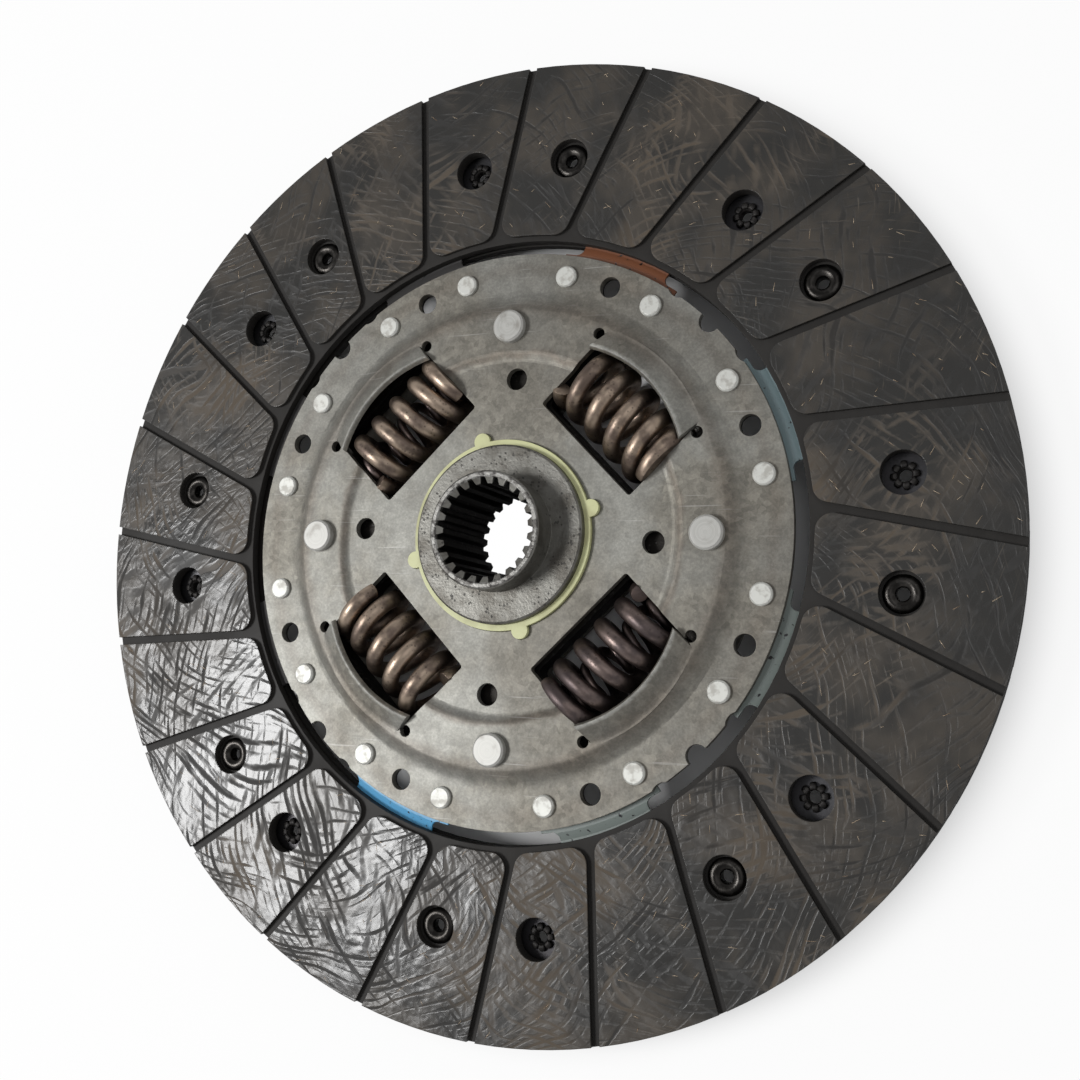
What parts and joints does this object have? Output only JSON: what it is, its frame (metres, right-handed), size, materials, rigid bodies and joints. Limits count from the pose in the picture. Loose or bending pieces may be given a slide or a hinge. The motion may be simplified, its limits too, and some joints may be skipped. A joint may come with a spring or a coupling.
{
  "type": "clutch disc",
  "caption": "Sprung clutch friction disc: slant-grooved ring linings on cushion segments, lipped damper-spring windows and a splined hub with a plain nose.",
  "frame": {"origin": "centre of the hub's rear end face, on the disc's axis", "axes": "+Z along the disc's axis towards the hub's nose; the four stop pins lie on the X and Y axes"},
  "size_m": [0.25, 0.25, 0.0281],
  "materials": {
    "lining": "dark woven friction compound, ground flat",
    "blackened_rivet": "blackened steel",
    "bright_rivet": "bright zinc-plated steel",
    "spring_sheet": "hardened spring sheet, with paint marks on the necks",
    "retainer_steel": "satin pressed steel with a faint oil film",
    "pin_steel": "turned and riveted steel with circular marks",
    "spring_steel": "bronze-brown oil-tempered spring wire",
    "inner_spring_steel": "dark oil-tempered spring wire",
    "hub_steel": "grey phosphated forging, speckled, with a machined nose face",
    "bush_plastic": "moulded cream plastic",
    "washer_plastic": "dark moulded friction plastic",
    "friction_pack_steel": "plain sheet steel"
  },
  "bodies": {
    "disc": {"front_lining": "lining", "rear_lining": "lining", "front_lining_rivets": "blackened_rivet", "rear_lining_rivets": "blackened_rivet", "cushion_segment_1": "spring_sheet", "cushion_segment_2": "spring_sheet", "cushion_segment_3": "spring_sheet", "cushion_segment_4": "spring_sheet", "cushion_segment_5": "spring_sheet", "cushion_segment_6": "spring_sheet", "cushion_segment_7": "spring_sheet", "cushion_segment_8": "spring_sheet", "plate_rivets": "bright_rivet", "front_retainer_plate": "retainer_steel", "rear_retainer_plate": "retainer_steel", "stop_pin_1": "pin_steel", "stop_pin_2": "pin_steel", "stop_pin_3": "pin_steel", "stop_pin_4": "pin_steel", "front_bush": "bush_plastic", "friction_washer": "washer_plastic", "pressure_plate": "friction_pack_steel", "cone_spring": "friction_pack_steel"},
    "damper_springs": {"damper_spring_1": "spring_steel", "damper_spring_2": "spring_steel", "damper_spring_3": "spring_steel", "damper_spring_4": "spring_steel", "inner_spring_2": "inner_spring_steel", "inner_spring_4": "inner_spring_steel"},
    "hub": {"hub": "hub_steel"}
  },
  "joints": [
    {"name": "hub_twist", "type": "hinge", "parent": "disc", "child": "hub", "pos_m": [0, 0, 0], "axis": [0, 0, 1], "range_deg": [-9, 9], "stiffness_Nm_per_rad": 10, "deforming": ["damper_spring_1", "damper_spring_2", "damper_spring_3", "damper_spring_4", "inner_spring_2", "inner_spring_4"]},
    {"name": "spring_shift", "type": "hinge", "parent": "disc", "child": "damper_springs", "pos_m": [0, 0, 0], "axis": [0, 0, 1], "range_deg": [-4.5, 4.5]}
  ],
  "couplings": [
    {"joint": "spring_shift", "follows": "hub_twist", "ratio": 0.5}
  ]
}
